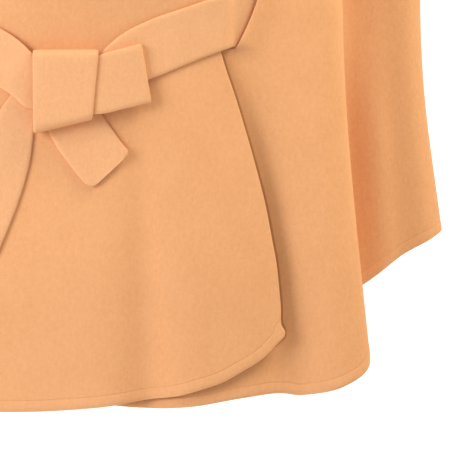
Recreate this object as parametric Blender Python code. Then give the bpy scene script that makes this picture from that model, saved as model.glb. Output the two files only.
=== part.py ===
"""Shawl collar poncho: a wrap poncho of double-faced wool with a tied belt, hollow as when it is worn.

Metres, +Z up, the front faces -Y. The origin is midway between the two side-neck points.
"""

import math

import bpy
import numpy as np

for old in list(bpy.data.objects):
    bpy.data.objects.remove(old, do_unlink=True)

# Driving sizes
WALL = 0.0023  # double-faced wool
BELT_WALL = 0.0030  # the belt is doubled
SEAM_GAP = 0.0003  # between pieces that are sewn together
NECK_HALF = 0.094
SHOULDER_HALF = 0.190
SLIT_TOP = (0.2132, -0.3025)  # x, z
SLIT_FOOT = (0.1822, -0.3808)
SLIT_LIFT = 0.0062  # how far each lip stands off its panel
SLIT_SPREAD = 0.036  # how far from the slit that lift dies away
COLLAR_ROLL = 0.0026  # radius of the collar's roll on the fronts
NECK_ROLL = 0.0045  # radius of the roll round the back neck
STAND = 0.034  # collar stand at the back neck

# The cloth as rays from the neck to the hem of the wearer's left half, a row for each fold's ridge or valley:
# around in degrees from the centre front, waist x and y, hem x, y and z
RAYS = (
    (0, 0.000, -0.127, 0.000, -0.150, -0.7700),
    (9, 0.062, -0.125, 0.068, -0.150, -0.7705),
    (18, 0.122, -0.117, 0.135, -0.147, -0.7675),
    (26, 0.174, -0.103, 0.190, -0.138, -0.7605),
    (31.5, 0.208, -0.091, 0.232, -0.122, -0.7580),
    (38, 0.245, -0.082, 0.262, -0.117, -0.7612),
    (44, 0.288, -0.068, 0.306, -0.106, -0.7530),
    (49, 0.307, -0.047, 0.337, -0.079, -0.7340),
    (53, 0.308, -0.025, 0.333, -0.045, -0.7080),
    (58, 0.293, -0.006, 0.308, -0.012, -0.6840),
    (64, 0.312, 0.016, 0.330, 0.022, -0.6650),
    (72, 0.352, 0.028, 0.376, 0.036, -0.6300),
    (82, 0.392, 0.040, 0.418, 0.048, -0.6080),
    (90, 0.405, 0.056, 0.434, 0.070, -0.6000),
    (98, 0.396, 0.078, 0.422, 0.100, -0.6100),
    (108, 0.352, 0.094, 0.372, 0.122, -0.6400),
    (120, 0.292, 0.128, 0.318, 0.168, -0.6750),
    (133, 0.225, 0.128, 0.242, 0.160, -0.7050),
    (145, 0.165, 0.152, 0.180, 0.200, -0.7380),
    (156, 0.108, 0.146, 0.115, 0.182, -0.7550),
    (168, 0.050, 0.158, 0.055, 0.208, -0.7680),
    (180, 0.000, 0.152, 0.000, 0.190, -0.7710),
)
WAIST_Z = (-0.360, -0.330, -0.350)  # front, side, back
# Rings above the waist, a row for each: t down the ray, side x, front y, back y, side y, front z, side z, back z
RINGS = (
    (-0.10, NECK_HALF - 0.006, -0.054, 0.072, 0.004, -0.010, 0.034, 0.044),
    (0.00, NECK_HALF, -0.072, 0.078, 0.000, -0.080, 0.000, 0.008),
    (0.12, SHOULDER_HALF, -0.095, 0.104, 0.004, -0.132, -0.045, -0.050),
    (0.30, 0.318, -0.128, 0.142, 0.018, -0.215, -0.165, -0.180),
)
WAIST_T = 0.50
# Front edges as x and z, from the rounded corner up to the break of the collar
EDGE = (
    (0.2310, -0.6951),
    (0.2316, -0.6908),
    (0.2270, -0.6830),
    (0.2258, -0.6656),
    (0.2234, -0.6417),
    (0.2202, -0.6144),
    (0.2154, -0.5892),
    (0.2092, -0.5564),
    (0.1995, -0.5125),
    (0.1895, -0.4685),
    (0.1785, -0.4245),
    (0.1726, -0.4027),
    (0.1678, -0.3863),
    (0.1600, -0.3450),
    (0.1550, -0.2950),
)
# The rounded lower corner of the top front, x and z, from the edge towards the centre
TOP_CORNER = (
    (0.2310, -0.6951),
    (0.2224, -0.7045),
    (0.2079, -0.7188),
    (0.1890, -0.7304),
    (0.1704, -0.7403),
    (0.1439, -0.7489),
    (0.1166, -0.7558),
    (0.0822, -0.7598),
    (0.0544, -0.7641),
    (0.0338, -0.7664),
    (-0.0074, -0.7694),
)
# The same corner of the under front, mirrored, which hitches up a little more
UNDER_CORNER = (
    (0.2270, -0.6860),
    (0.2200, -0.6960),
    (0.2050, -0.7100),
    (0.1850, -0.7230),
    (0.1600, -0.7345),
    (0.1300, -0.7440),
    (0.0900, -0.7515),
    (0.0450, -0.7570),
    (0.0000, -0.7608),
    (-0.0300, -0.7625),
    (-0.0545, -0.7658),
)
# The line along which the collar is sewn to a front, x and z, from the break to the neck
ROLL = ((0.1550, -0.2950), (0.1020, -0.2300), (0.0500, -0.1660), (0.0000, -0.1080))
NECK_FROM = 34.0  # degrees on the front's own side, from where the collar follows the neck
# The collar's outer edge, x and z, then degrees and t
COLLAR_EDGE = ((0.1500, -0.3005), (0.1050, -0.3045), (0.0500, -0.2960), (-0.0100, -0.2700), (-0.0700, -0.2220))
COLLAR_BACK = ((62, 0.155), (90, 0.105), (120, 0.125), (150, 0.135), (180, 0.135))


def spline(knots, values, at):
    """A smooth curve through values (knots, ...) at the places `at`."""
    knots = np.asarray(knots, float)
    values = np.asarray(values, float)
    at = np.asarray(at, float)
    step = np.diff(knots)
    slope = np.diff(values, axis=0) / step.reshape((-1,) + (1,) * (values.ndim - 1))
    wide = step.reshape((-1,) + (1,) * (values.ndim - 1))
    tangent = np.empty_like(values)
    tangent[1:-1] = (slope[:-1] * wide[1:] + slope[1:] * wide[:-1]) / (wide[1:] + wide[:-1])
    tangent[0] = slope[0]
    tangent[-1] = slope[-1]
    i = np.clip(np.searchsorted(knots, at, side="right") - 1, 0, len(knots) - 2)
    h = step[i]
    u = (at - knots[i]) / h
    shape = u.shape + (1,) * (values.ndim - 1)
    h, u = h.reshape(shape), u.reshape(shape)
    return (
        values[i] * (2 * u**3 - 3 * u**2 + 1)
        + tangent[i] * h * (u**3 - 2 * u**2 + u)
        + values[i + 1] * (3 * u**2 - 2 * u**3)
        + tangent[i + 1] * h * (u**3 - u**2)
    )


def smooth(a, b, x):
    """0 below a, 1 above b, and smooth between."""
    u = np.clip((np.asarray(x, float) - a) / (b - a), 0, 1)
    return u * u * (3 - 2 * u)


def whole_ring(rows):
    """Half a ring's rows (degrees, x, ...) as knots and values for the whole ring, with some over."""
    half = [(r[0], tuple(r[1:])) for r in rows]
    mirrored = [(-d, (-v[0], v[1], -v[2], v[3], v[4])) for d, v in reversed(half[1:-1])]
    ring = mirrored + half
    ring = [(d - 360, v) for d, v in ring[-4:]] + ring + [(d + 360, v) for d, v in ring]
    return np.array([d for d, _ in ring], float), np.array([v for _, v in ring], float)


RAY_KNOTS, RAY_VALUES = whole_ring(RAYS)
LEVELS = np.array([r[0] for r in RINGS] + [WAIST_T, 1.0])


def front_back(front, side, back, c):
    """A value that goes from front over side to back with the cosine c of the angle."""
    return np.where(c > 0, side + (front - side) * c * c, side + (back - side) * c * c)


def surface(around, t):
    """The middle of the cloth at an angle in degrees from the centre front and t down from the neck."""
    around, t = np.broadcast_arrays(np.asarray(around, float), np.asarray(t, float))
    shape = around.shape
    a, t = around.ravel(), t.ravel()
    c, s = np.cos(np.radians(a)), np.sin(np.radians(a))
    rings = []
    for _, side_x, front_y, back_y, side_y, front_z, side_z, back_z in RINGS:
        y = np.where(c > 0, side_y * (1 - c) + front_y * c, side_y * (1 + c) - back_y * c)
        rings.append(np.stack([side_x * s, y, front_back(front_z, side_z, back_z, c)], axis=1))
    ray = spline(RAY_KNOTS, RAY_VALUES, a)
    rings.append(np.stack([ray[:, 0], ray[:, 1], front_back(*WAIST_Z, c)], axis=1))
    rings.append(ray[:, 2:5])
    stack = np.stack(rings)
    step = np.diff(LEVELS)[:, None, None]
    slope = np.diff(stack, axis=0) / step
    tangent = np.empty_like(stack)
    tangent[1:-1] = (slope[:-1] * step[1:] + slope[1:] * step[:-1]) / (step[1:] + step[:-1])
    tangent[0], tangent[-1] = slope[0], slope[-1]
    # the belt holds the folds in, so they leave it straight down and flare towards the hem
    tangent[-2, :, :2] = slope[-1, :, :2] * 0.2
    tangent[-1, :, :2] = slope[-1, :, :2] * 1.25
    i = np.clip(np.searchsorted(LEVELS, t, side="right") - 1, 0, len(LEVELS) - 2)
    n = np.arange(len(t))
    h = (LEVELS[i + 1] - LEVELS[i])[:, None]
    u = ((t - LEVELS[i])[:, None]) / h
    p = (
        stack[i, n] * (2 * u**3 - 3 * u**2 + 1)
        + tangent[i, n] * h * (u**3 - 2 * u**2 + u)
        + stack[i + 1, n] * (3 * u**2 - 2 * u**3)
        + tangent[i + 1, n] * h * (u**3 - u**2)
    )
    return p.reshape(shape + (3,))


def unit(v):
    return v / np.maximum(np.linalg.norm(v, axis=-1, keepdims=True), 1e-12)


def down(around, t):
    """The unit direction down a ray."""
    return unit(surface(around, np.asarray(t) + 1e-3) - surface(around, np.asarray(t) - 1e-3))


def outward(around, t):
    """The unit direction out of the cloth."""
    across = surface(np.asarray(around) + 0.05, t) - surface(np.asarray(around) - 0.05, t)
    return unit(np.cross(down(around, t), across))


def find(x, z):
    """The angle and t at which the front of the cloth is at x and z."""
    x, z = np.asarray(x, float), np.asarray(z, float)
    a = np.degrees(np.arcsin(np.clip(x / 0.36, -0.95, 0.95)))
    t = np.clip((-0.085 - z) / 0.685, 0.02, 1.0)
    for _ in range(40):
        p = surface(a, t)
        da = (surface(a + 0.01, t) - p) / 0.01
        dt = (surface(a, t + 1e-4) - p) / 1e-4
        ex, ez = x - p[..., 0], z - p[..., 2]
        det = da[..., 0] * dt[..., 2] - dt[..., 0] * da[..., 2]
        det = np.where(np.abs(det) < 1e-9, 1e-9, det)
        a = a + np.clip((ex * dt[..., 2] - ez * dt[..., 0]) / det, -4, 4)
        t = t + np.clip((ez * da[..., 0] - ex * da[..., 2]) / det, -0.06, 0.06)
    return a, t


def along(points, at):
    """Places on a line of points at shares `at` of its length, smoothly."""
    points = np.asarray(points, float)
    knots = np.concatenate([[0], np.cumsum(np.linalg.norm(np.diff(points, axis=0), axis=1))])
    return spline(knots / knots[-1], points, at)


def graded(n, start=1.0, end=1.0):
    """n + 1 shares from 0 to 1, whose steps grow from `start` to `end`."""
    steps = np.linspace(start, end, n)
    return np.concatenate([[0], np.cumsum(steps)]) / steps.sum()


# How far each front stands off the middle surface: the top one out, the under one in.
# own is the angle on the front's own side: 90 at its side seam, below 0 past the centre
def top_off(own, t):
    over = 1 - smooth(50, 76, own)
    rest = 0.0050 - 0.0022 * smooth(0.43, 0.50, t) + 0.0010 * smooth(0.60, 0.80, t)
    edge = smooth(14, 33, -np.asarray(own, float))
    lift = 0.0165 * edge * smooth(0.53, 0.74, t)
    return over * rest + lift


def under_off(own, t):
    over = 1 - smooth(46, 72, own)
    rest = -0.0058 + 0.0030 * smooth(0.43, 0.50, t)
    return over * rest


def slit_frame(x, z):
    """Distance past the slit towards the side, and height above its foot, in metres."""
    run = np.array(SLIT_TOP) - np.array(SLIT_FOOT)
    long = float(np.linalg.norm(run))
    run = run / long
    dx, dz = np.abs(np.asarray(x, float)) - SLIT_FOOT[0], np.asarray(z, float) - SLIT_FOOT[1]
    return dx * run[1] - dz * run[0], dx * run[0] + dz * run[1], long


def lip(x, z, side):
    """How far a panel is pushed out (side +1) or in (side -1) next to its slit."""
    past, up, long = slit_frame(x, z)
    near = 1 - smooth(0.0, SLIT_SPREAD, np.abs(past))
    tall = smooth(-0.001, 0.0085, up) * smooth(-0.001, 0.0085, long - up)
    return side * SLIT_LIFT * near * tall


FRONT_ROWS_LOW = 11  # from the hem to the slit's foot
FRONT_ROWS_HIGH = 9  # from the slit's top to the collar
SLIT_ROWS = (0.0, 0.085, 0.25, 0.5, 0.75, 0.915, 1.0)  # shares of the slit's length
COLUMNS_IN = 14  # from the free edge to the slit
COLUMNS_OUT = 16  # from the slit to the side seam
NECK_AT = 44.0  # degrees at which the line through the slit meets the neck
SLIT_OPEN = 0.0007  # how far each lip is drawn back along its panel
SLIT_V = (0.50, 0.60)  # shares of a front's height at which the slit begins and ends


def seam_t(own):
    """The t of the seam that joins the collar to a front and to the back neck."""
    ra, rt = find([-p[0] for p in ROLL], [p[1] for p in ROLL])
    line = np.stack([np.append(ra, [NECK_FROM - 14, NECK_FROM]), np.append(rt, [0.012, 0.0])], axis=1)
    s = along(line * (1, 150), np.linspace(0, 1, 400)) / (1, 150)
    return np.maximum(np.interp(own, s[:, 0], s[:, 1]), 0.0)


def front_grid(mirror, corner, rows_low=FRONT_ROWS_LOW, rows_high=FRONT_ROWS_HIGH, columns_in=COLUMNS_IN,
               columns_out=COLUMNS_OUT, slit_rows=SLIT_ROWS):
    """Angles (own side positive) and t of a front's grid: rows from the hem up, columns from the free edge."""
    inset = EDGE[0][0] - corner[0][0]
    raised = corner[0][1] - EDGE[0][1]
    edge_pts = [(x - inset * (z < -0.5), z + raised * (z < -0.6)) for x, z in EDGE]
    ea, et = find([-p[0] for p in edge_pts], [p[1] for p in edge_pts])
    edge_line = np.stack([ea, et * 100], axis=1)
    ca, ct = find([-p[0] for p in corner], [p[1] for p in corner])
    ra, rt = find([-p[0] for p in ROLL], [p[1] for p in ROLL])
    fa, ft = find(SLIT_FOOT[0], SLIT_FOOT[1])
    ta, tt = find(SLIT_TOP[0], SLIT_TOP[1])
    v_low = graded(rows_low, 0.45, 1.0) * SLIT_V[0]
    v_slit = SLIT_V[0] + np.array(slit_rows) * (SLIT_V[1] - SLIT_V[0])
    v_high = SLIT_V[1] + graded(rows_high) * (1 - SLIT_V[1])
    v = np.concatenate([v_low, v_slit[1:], v_high[1:]])
    cut = (rows_low, rows_low + len(slit_rows) - 1)
    # free edge
    free = along(edge_line, v)
    free[:, 1] /= 100
    # side seam
    seam_v = np.interp(v, (0, SLIT_V[0], SLIT_V[1], 1), (1.0, 0.56, 0.44, 0.0))
    seam = np.stack([np.full(len(v), 90.0), seam_v], axis=1)
    # guide through the slit
    hem_a = fa - 4.0
    gv = (0.0, SLIT_V[0], SLIT_V[1], 1.0)
    top_a = NECK_AT
    guide_a = spline(gv, (hem_a, float(fa), float(ta), top_a), v)
    guide_t = spline(gv, (1.0, float(ft), float(tt), 0.0), v)
    inside = (v >= SLIT_V[0]) & (v <= SLIT_V[1])
    share = (v - SLIT_V[0]) / (SLIT_V[1] - SLIT_V[0])
    guide_a = np.where(inside, fa + (ta - fa) * share, guide_a)
    guide_t = np.where(inside, ft + (tt - ft) * share, guide_t)
    guide_t[0], guide_t[-1] = 1.0, 0.0
    guide = np.stack([guide_a, guide_t], axis=1)
    # hem: the rounded corner, then the base hem to the guide and on to the seam
    u_in = graded(columns_in, 0.42, 1.25)
    corner_line = np.stack([np.append(ca, [8.0, hem_a]), np.append(ct, [1.0, 1.0])], axis=1)
    if corner is TOP_CORNER:
        corner_line[-3, 1] = max(corner_line[-3, 1], 0.997)
    scaled = corner_line * (1, 60)
    hem_in = along(scaled, u_in) / (1, 60)
    hem_in[:, 1] = np.minimum(hem_in[:, 1], 1.0)
    # top: the roll line, then round the neck to the guide and on to the seam
    top_a_in = float(ra[0]) + (top_a - float(ra[0])) * np.linspace(0, 1, columns_in + 1)
    top_in = np.stack([top_a_in, seam_t(top_a_in)], axis=1)
    u_out = graded(columns_out)
    bend = np.interp(u_out, (0, 0.18, 0.62, 1.0), (0, 0.20, 0.56, 1.0))
    hem_out = np.stack([hem_a + (90 - hem_a) * bend, np.ones(len(bend))], axis=1)
    top_out = np.stack([top_a + (90 - top_a) * u_out, np.zeros(len(bend))], axis=1)

    def coons(left, right, foot, head, u):
        w = ((v - v[0]) / (v[-1] - v[0]))[:, None, None]
        x = u[None, :, None]
        sides = left[:, None] * (1 - x) + right[:, None] * x
        ends = foot[None] * (1 - w) + head[None] * w
        corners = (
            (foot[0] * (1 - x) + foot[-1] * x) * (1 - w) + (head[0] * (1 - x) + head[-1] * x) * w
        )
        return sides + ends - corners

    free[0], free[-1] = hem_in[0], top_in[0]
    a = coons(free, guide, hem_in, top_in, np.linspace(0, 1, columns_in + 1))
    b = coons(guide, seam, hem_out, top_out, bend)
    grid = np.concatenate([a, b[:, 1:]], axis=1)
    return grid[..., 0], np.clip(grid[..., 1], 0, 1), columns_in, cut


def front_points(top, wall_off=0.0, grid=None):
    """Points and outward directions of a front's grid, with its second lip where it is slit."""
    corner = TOP_CORNER if top else UNDER_CORNER
    own, t, slit_column, cut = grid or front_grid(False, corner)
    side = -1 if top else 1  # the top front is the wearer's right one, at -X
    around = own * side
    points = surface(around, t)
    n = outward(around, t)
    off = top_off(own, t) if top else under_off(own, t)
    columns = np.arange(own.shape[1])
    sign = np.where(columns < slit_column, -1, 1)[None, :]
    push = lip(points[..., 0], points[..., 2], sign)
    own_side = smooth(5, 12, own)
    push = push * own_side
    inner = lip(points[..., 0], points[..., 2], -1)[:, slit_column]
    off = off + wall_off
    apart = unit(points[:, slit_column + 1] - points[:, slit_column - 1]) * SLIT_OPEN
    second = points[:, slit_column] + n[:, slit_column] * (off[:, slit_column] + inner)[:, None] - apart
    points = points + n * (off + push)[..., None]
    points[cut[0] + 1 : cut[1], slit_column] += apart[cut[0] + 1 : cut[1]]
    return points, n, slit_column, cut, second


def pulled(points, first=False):
    """Columns of points with the last one, or both outer ones, drawn in from the side seam."""
    out = points.copy()
    out[:, -1] += unit(points[:, -2] - points[:, -1]) * SEAM_GAP * 1.4
    if first:
        out[:, 0] += unit(points[:, 1] - points[:, 0]) * SEAM_GAP * 1.4
    return out


def wall(name, vertices, normals, faces, thick, colour):
    """A closed wall on a middle sheet: both faces and the rim along every open edge."""
    n = len(vertices)
    q = np.array(faces)
    facing = np.cross(vertices[q[:, 2]] - vertices[q[:, 0]], vertices[q[:, 3]] - vertices[q[:, 1]])
    if (facing * normals[q[:, 0]]).sum() < 0:
        faces = [tuple(reversed(f)) for f in faces]
    out = vertices + normals * (thick / 2)
    back = vertices - normals * (thick / 2)
    count = {}
    for f in faces:
        for i in range(len(f)):
            e = (f[i], f[(i + 1) % len(f)])
            count[tuple(sorted(e))] = count.get(tuple(sorted(e)), 0) + 1
    polygons = [tuple(f) for f in faces] + [tuple(n + i for i in reversed(f)) for f in faces]
    for f in faces:
        for i in range(len(f)):
            a, b = f[i], f[(i + 1) % len(f)]
            if count[tuple(sorted((a, b)))] == 1:
                polygons.append((b, a, n + a, n + b))
    mesh = bpy.data.meshes.new(name)
    mesh.from_pydata([tuple(p) for p in np.concatenate([out, back])], [], polygons)
    mesh.validate()
    mesh.update()
    o = bpy.data.objects.new(name, mesh)
    bpy.context.scene.collection.objects.link(o)
    material = bpy.data.materials.new(name + "_wool")
    material.use_nodes = True
    shader = material.node_tree.nodes["Principled BSDF"]
    shader.inputs["Base Color"].default_value = colour
    shader.inputs["Roughness"].default_value = 0.95
    shader.inputs["Metallic"].default_value = 0.0
    mesh.materials.append(material)
    return o


def grid_faces(rows, columns, first=0, flip=False, ring=False):
    """Quads of a grid stored row by row."""
    faces = []
    for i in range(rows - 1):
        for j in range(columns if ring else columns - 1):
            k = (j + 1) % columns
            q = (first + i * columns + j, first + i * columns + k, first + (i + 1) * columns + k,
                 first + (i + 1) * columns + j)
            faces.append(tuple(reversed(q)) if flip else q)
    return faces


def front_mesh(name, top, colour):
    points, n, slit_column, cut, second = front_points(top)
    points = pulled(points)
    rows, columns = points.shape[:2]
    vertices = list(points.reshape(-1, 3))
    normals = list(n.reshape(-1, 3))
    twin = {}
    for i in range(cut[0] + 1, cut[1]):
        twin[i] = len(vertices)
        vertices.append(second[i])
        normals.append(n[i, slit_column])
    faces = []
    for i in range(rows - 1):
        for j in range(columns - 1):
            q = [i * columns + j, i * columns + j + 1, (i + 1) * columns + j + 1, (i + 1) * columns + j]
            if j == slit_column - 1:
                q[1] = twin.get(i, q[1])
                q[2] = twin.get(i + 1, q[2])
            faces.append(tuple(reversed(q)) if top else tuple(q))
    return wall(name, np.array(vertices), np.array(normals), faces, WALL, colour)


WOOL = (0.80, 0.42, 0.19, 1.0)


def back_mesh():
    columns = 41
    rows = 22
    a = 90 + 180 * graded(columns - 1)
    t = graded(rows - 1, 0.75, 1.1)
    around, down_t = np.meshgrid(a, t)
    p = surface(around, down_t)
    n = outward(around, down_t)
    p = pulled(p, first=True)
    return wall("back", p.reshape(-1, 3), n.reshape(-1, 3), grid_faces(rows, columns, flip=True), WALL, WOOL)


def collar_half(top, stations, stand_rows=3, roll_rows=6, fall_rows=6):
    """Points and outward directions of half a collar, from its tip on a front to the centre back."""
    side = -1 if top else 1
    own = stations
    around = own * side
    stand_off = top_off if top else under_off
    ts = seam_t(own)
    off = stand_off(own, ts)
    oa, ot = find([-p[0] for p in COLLAR_EDGE], [p[1] for p in COLLAR_EDGE])
    outer = np.concatenate([np.stack([oa, ot], axis=1), np.array(COLLAR_BACK, float)])
    to = spline(outer[:, 0], outer[:, 1], own)
    speed = np.linalg.norm(surface(around, ts + 1e-3) - surface(around, ts - 1e-3), axis=1) / 2e-3
    high = 0.003 + (STAND - 0.003) * smooth(46, 118, own)
    radius = COLLAR_ROLL + (NECK_ROLL - COLLAR_ROLL) * smooth(40, 110, own)
    tr = ts - high / speed
    rows, normals = [], []
    base_n = outward(around, ts)
    for k in range(stand_rows):
        t = ts + (tr - ts) * k / stand_rows
        n = outward(around, t)
        gap = down(around, t) * (-SEAM_GAP * 1.5 if k == 0 else 0)
        rows.append(surface(around, t) + gap + n * off[:, None])
        normals.append(n)
    n0, d0, p0 = outward(around, tr), down(around, tr), surface(around, tr)
    for k in range(roll_rows):
        turn = math.pi * k / (roll_rows - 1)
        rows.append(
            p0 - d0 * (radius * math.sin(turn))[:, None] + n0 * (off + radius * (1 - math.cos(turn)))[:, None]
        )
        normals.append(n0 * math.cos(turn) + d0 * math.sin(turn))
    for w in graded(fall_rows, 0.5, 1.3)[1:]:
        t = tr + (to - tr) * w
        n = outward(around, t)
        lie = 2 * radius + (2 * COLLAR_ROLL - 2 * radius) * w
        rows.append(surface(around, t) + n * (stand_off(own, t) + lie)[:, None])
        normals.append(-n)
    return np.stack(rows), np.stack(normals)


def collar_mesh():
    ba, _ = find([-ROLL[0][0]], [ROLL[0][1]])
    inner = float(ba[0]) + (NECK_AT - float(ba[0])) * np.linspace(0, 1, COLUMNS_IN + 1)
    outer = NECK_AT + (90 - NECK_AT) * np.linspace(0, 1, COLUMNS_OUT // 2 + 1)
    stations = np.concatenate([[inner[0] + 1.5], inner[1:], outer[1:], 90 + 90 * np.linspace(0, 1, 11)[1:]])
    left, left_n = collar_half(False, stations)
    right, right_n = collar_half(True, stations)
    p = np.concatenate([left, right[:, ::-1][:, 1:]], axis=1)
    n = np.concatenate([left_n, right_n[:, ::-1][:, 1:]], axis=1)
    rows, columns = p.shape[:2]
    return wall("shawl_collar", p.reshape(-1, 3), n.reshape(-1, 3), grid_faces(rows, columns), WALL, WOOL)


# The belt's outer strand, a row for each cross line: upper x and z, lower x and z, height off the panel
STRAND = (
    (0.002, -0.3960, 0.002, -0.4440, 0.0102),
    (0.022, -0.3930, 0.026, -0.4450, 0.0103),
    (0.0375, -0.3850, 0.045, -0.4400, 0.0101),
    (0.047, -0.3685, 0.057, -0.4290, 0.0085),
    (0.0610, -0.3600, 0.0755, -0.4170, 0.0064),
    (0.0900, -0.3469, 0.1060, -0.4050, 0.0042),
    (0.1280, -0.3335, 0.1390, -0.3915, 0.0038),
    (0.1530, -0.3250, 0.1630, -0.3828, 0.0038),
    (0.1810, -0.3170, 0.1745, -0.3790, 0.0034),
    (0.2100, -0.3105, 0.1856, -0.3738, 0.0000),
    (0.236, -0.3080, 0.214, -0.3680, -0.0042),
)
# The belt's inner stretch, half of it: x, y, middle z, width
INNER = (
    (0.2420, -0.0560, -0.3370, 0.058),
    (0.2470, -0.0150, -0.3360, 0.060),
    (0.2300, 0.0420, -0.3350, 0.060),
    (0.1720, 0.0880, -0.3350, 0.060),
    (0.0900, 0.1090, -0.3350, 0.060),
    (0.0000, 0.1140, -0.3350, 0.060),
)
ACROSS = 5  # points across the belt


def on_panel(x, z, lift, side):
    """Points at x and z (x mirrored for side -1), lifted off the front that lies there, and their directions."""
    a, t = find(np.asarray(x, float), np.asarray(z, float))
    around = a * side
    free = 0.1640 + 0 * a
    if side > 0:
        over = 1 - smooth(free + 0.004, free + 0.022, np.asarray(x, float))
        off = over * top_off(-a, t) + (1 - over) * under_off(a, t)
    else:
        off = top_off(a, t)
    n = outward(around, t)
    return surface(around, t) + n * (off + lift)[..., None], n


def strand(side, samples, across=ACROSS):
    rows = np.array(STRAND)
    knots = np.concatenate([[0], np.cumsum(np.hypot(*np.diff((rows[:, :2] + rows[:, 2:4]) / 2, axis=0).T))])
    s = knots[-1] * samples
    r = spline(knots, rows, s)
    w = np.linspace(0, 1, across)
    x = r[:, None, 0] + (r[:, None, 2] - r[:, None, 0]) * w
    z = r[:, None, 1] + (r[:, None, 3] - r[:, None, 1]) * w
    lift = r[:, 4][:, None] + 0 * w
    return on_panel(x, z, lift, side)


def belt_mesh():
    samples = np.concatenate([graded(13)[:-1] * 0.74, 0.74 + 0.26 * graded(8)])
    parts = []
    for side in (1, -1):
        p, n = strand(side, samples)
        last, middle = p[-1], p[-1].mean(axis=0)
        inner = []
        for x, y, z, width in INNER:
            inner.append([(x * side, y, z + width * (0.5 - k / (ACROSS - 1))) for k in range(ACROSS)])
        inner = np.array(inner)
        lead = np.concatenate([p[-3:-2], p[-1:], inner])
        share = np.concatenate([[0], np.cumsum(np.linalg.norm(np.diff(lead.mean(axis=1), axis=0), axis=1))])
        at = share[1] + (share[-1] - share[1]) * graded(15)[1:]
        more = spline(share, lead, at)
        q = np.concatenate([p, more])
        parts.append((q, side))
    right, left = parts[0][0], parts[1][0]
    q = np.concatenate([left, right[::-1][1:]])
    d_len = np.gradient(q, axis=0)
    d_wide = np.gradient(q, axis=1)
    n = unit(np.cross(d_len, d_wide))
    return q, n


def belt_band():
    q, n = belt_mesh()
    rows, columns = q.shape[:2]
    return wall("belt_band", q.reshape(-1, 3), n.reshape(-1, 3), grid_faces(rows, columns), BELT_WALL, WOOL)


def strip(name, q, ring=False, colour=WOOL, thick=BELT_WALL):
    """A belt piece from its grid of middle points, whose first row faces the front."""
    if ring:
        d_len = unit(np.roll(q, -1, axis=0) - np.roll(q, 1, axis=0))
    else:
        d_len = np.gradient(q, axis=0)
    n = unit(np.cross(d_len, np.gradient(q, axis=1)))
    rows, columns = q.shape[:2]
    faces = []
    for i in range(rows if ring else rows - 1):
        k = (i + 1) % rows
        for j in range(columns - 1):
            faces.append((i * columns + j, k * columns + j, k * columns + j + 1, i * columns + j + 1))
    return wall(name, q.reshape(-1, 3), n.reshape(-1, 3), faces, thick, colour)


# The knot's wrap: half widths and heights about the knot's middle, and its two walls' heights off the panel
WRAP = {"left": -0.0355, "right_head": 0.0336, "right_foot": 0.0268, "head": -0.3800, "foot": -0.4590,
        "foot_slant": 0.24, "back": 0.0065, "front": 0.0217}


def off_panel(x, z, lift, side=1):
    """Points over the top front near the knot."""
    a, t = find(np.asarray(x, float), np.asarray(z, float))
    off = top_off(-a, t)
    n = outward(a, t)
    return surface(a, t) + n * (off + lift)[..., None]


def wrap_piece():
    middle = (WRAP["back"] + WRAP["front"]) / 2
    half = (WRAP["front"] - WRAP["back"]) / 2
    head, foot = WRAP["head"], WRAP["foot"]
    rows = []
    turns = [("front", k / 6) for k in range(7)] + [("foot", k / 5) for k in range(1, 5)]
    turns += [("back", k / 6) for k in range(7)] + [("head", k / 5) for k in range(1, 5)]
    for part, k in turns:
        inset = half * 0.9
        if part == "front":
            z, lift = head - inset + (foot + 2 * inset - head) * k, WRAP["front"]
        elif part == "foot":
            z, lift = foot + inset - inset * math.sin(math.pi * k), middle + half * math.cos(math.pi * k)
        elif part == "back":
            z, lift = foot + inset + (head - foot - 2 * inset) * k, WRAP["back"]
        else:
            z, lift = head - inset + inset * math.sin(math.pi * k), middle - half * math.cos(math.pi * k)
        share = (head - z) / (head - foot)
        right = WRAP["right_head"] + (WRAP["right_foot"] - WRAP["right_head"]) * share
        x = np.linspace(WRAP["left"], right, 6)
        rows.append(off_panel(x, z + WRAP["foot_slant"] * share * x, np.full(6, lift)))
    q = np.array(rows)
    return strip("belt_wrap", q, ring=True)


# The folded half bow: share of its length, upper x and z, lower x and z, back wall and front wall heights
BOW = (
    (0.0, 0.0100, -0.3950, 0.0060, -0.4400, 0.0138, 0.0176),
    (0.2, 0.0250, -0.3890, 0.0180, -0.4450, 0.0138, 0.0176),
    (0.4, 0.0380, -0.3830, 0.0330, -0.4480, 0.0137, 0.0178),
    (0.7, 0.0600, -0.3770, 0.0620, -0.4410, 0.0124, 0.0172),
    (1.0, 0.0800, -0.3720, 0.0890, -0.4340, 0.0106, 0.0162),
)


def bow_piece():
    rows = np.array(BOW)
    w = np.linspace(0, 1, ACROSS)
    at = graded(8)
    r = spline(rows[:, 0], rows, at)

    def line(r, lift, push=0.0):
        x = r[1] + (r[3] - r[1]) * w + push
        z = r[2] + (r[4] - r[2]) * w
        return off_panel(x, z, np.full(ACROSS, lift))

    q = [line(x, x[6]) for x in r]
    end = r[-1]
    half = (end[6] - end[5]) / 2
    for k in range(1, 5):
        turn = math.pi * k / 5
        q.append(line(end, (end[5] + end[6]) / 2 + half * math.cos(turn), half * math.sin(turn)))
    q += [line(x, x[5]) for x in r[::-1]]
    q = np.array(q)[:, ::-1]
    return strip("belt_loop", q)


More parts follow.
